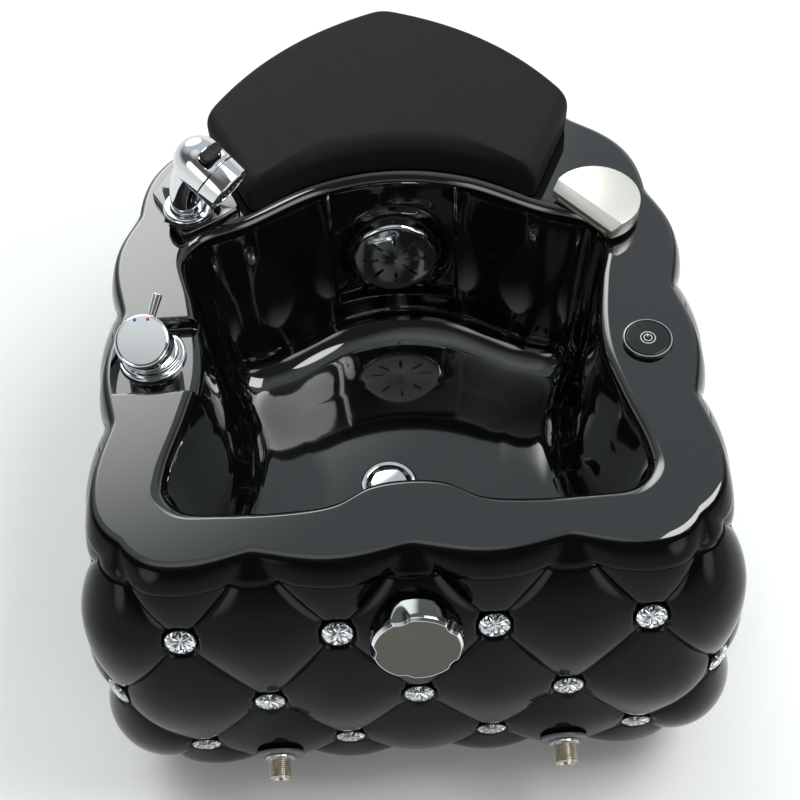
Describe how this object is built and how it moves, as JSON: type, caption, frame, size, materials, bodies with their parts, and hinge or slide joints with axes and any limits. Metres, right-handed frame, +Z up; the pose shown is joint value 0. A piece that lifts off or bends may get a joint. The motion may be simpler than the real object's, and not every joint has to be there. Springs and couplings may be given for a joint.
{
  "type": "pedicure foot basin",
  "caption": "Free-standing foot spa basin with a tufted shell, foot pad, tilting mixer, pull-out hand shower, waterfall spout, jet and pop-up drain.",
  "frame": {"origin": "on the floor, at the middle of the footprint", "axes": "+X to the right of a person facing the front, +Y to the back where the foot pad is, +Z up"},
  "size_m": [0.577, 0.7754, 0.4562],
  "materials": {
    "gelcoat": "polished black gelcoat",
    "foam": "matte moulded foam skin, fine grain",
    "chrome": "polished",
    "satin": "pale satin metal",
    "crystal": "clear, faceted",
    "black_plastic": "black, half gloss",
    "nickel": "dull nickel",
    "brass": "machined",
    "rubber": "black, matte",
    "grey_plastic": "moulded grey",
    "white_plastic": "moulded off-white",
    "braid": "fine steel braid",
    "board": "dark sealed board"
  },
  "bodies": {
    "tub": {"tufted_skirt": "gelcoat", "crystal_a3": "crystal", "crystal_a4": "crystal", "crystal_a1": "crystal", "crystal_a2": "crystal", "crystal_b2": "crystal", "crystal_b3": "crystal", "crystal_b1": "crystal", "crystal_c3": "crystal", "crystal_c4": "crystal", "crystal_c1": "crystal", "crystal_c2": "crystal", "basin_deck": "gelcoat", "basin_bowl": "gelcoat", "footrest_pad": "foam", "mixer_base_ring": "chrome", "mixer_valve_body": "brass", "mixer_lock_nut": "brass", "shower_guide_tube": "black_plastic", "shower_dock_collar": "rubber", "shower_dock_ring": "chrome", "shower_lock_nut": "black_plastic", "spout_body": "satin", "spout_lock_nut": "brass", "power_bezel": "black_plastic", "power_switch_body": "grey_plastic", "knob_bush": "brass", "inlet_washer_left": "grey_plastic", "inlet_nipple_left": "nickel", "inlet_washer_right": "grey_plastic", "inlet_nipple_right": "nickel", "jet_gasket": "rubber", "jet_cover": "chrome", "jet_motor": "grey_plastic", "drain_flange": "chrome", "drain_body": "black_plastic", "waste_pipe": "grey_plastic", "base_board": "board", "foot_front_left": "rubber", "foot_front_right": "rubber", "foot_back_left": "rubber", "foot_back_right": "rubber", "control_box": "black_plastic", "hot_supply_hose": "braid", "cold_supply_hose": "braid", "spout_feed_hose": "braid", "shower_hose_loop": "braid"},
    "mixer_ball": {"mixer_ball": "chrome"},
    "mixer_cap": {"mixer_cap": "chrome", "mixer_lever": "chrome"},
    "shower_hose_end": {"shower_hose_end": "braid"},
    "handset": {"shower_handle": "chrome", "shower_head_ring": "chrome", "shower_nozzle_face": "black_plastic"},
    "spray_button": {"spray_button": "black_plastic"},
    "power_button": {"power_button": "black_plastic"},
    "drain_knob": {"drain_knob": "chrome", "knob_spindle": "brass"},
    "drain_plug": {"drain_plug": "chrome"},
    "jet_impeller": {"jet_impeller": "white_plastic"}
  },
  "joints": [
    {"name": "mixer_turn", "type": "hinge", "parent": "tub", "child": "mixer_ball", "pos_m": [-0.2195, -0.0837, 0.34], "axis": [0, 0, 1], "range_deg": [-45, 45]},
    {"name": "mixer_tilt", "type": "hinge", "parent": "mixer_ball", "child": "mixer_cap", "pos_m": [-0.2195, -0.0837, 0.34], "axis": [1, 0, 0], "range_deg": [-27, 0]},
    {"name": "shower_lift", "type": "slide", "parent": "tub", "child": "shower_hose_end", "axis": [0, 0, 1], "range_m": [0, 0.1]},
    {"name": "shower_swivel", "type": "hinge", "parent": "shower_hose_end", "child": "handset", "pos_m": [-0.1905, 0.0703, 0.345], "axis": [0, 0, 1], "continuous": true},
    {"name": "spray_press", "type": "slide", "parent": "handset", "child": "spray_button", "axis": [-0.3889, 0.2995, -0.8712], "range_m": [0, 0.0025], "stiffness_N_per_m": 600, "springref_m": -0.0008},
    {"name": "power_press", "type": "slide", "parent": "tub", "child": "power_button", "axis": [0, 0, -1], "range_m": [0, 0.0015], "stiffness_N_per_m": 1200, "springref_m": -0.0008},
    {"name": "drain_knob_turn", "type": "hinge", "parent": "tub", "child": "drain_knob", "pos_m": [0, -0.34371, 0.288], "axis": [0, -0.9763, 0.2164], "range_deg": [0, 90]},
    {"name": "drain_plug_lift", "type": "slide", "parent": "tub", "child": "drain_plug", "axis": [0, 0, 1], "range_m": [0, 0.01]},
    {"name": "jet_spin", "type": "hinge", "parent": "tub", "child": "jet_impeller", "pos_m": [0, 0.1107, 0.248], "axis": [0, -0.9962, 0.0872], "continuous": true}
  ],
  "couplings": [
    {"joint": "drain_plug_lift", "follows": "drain_knob_turn", "m_per_rad": 0.0063662}
  ]
}
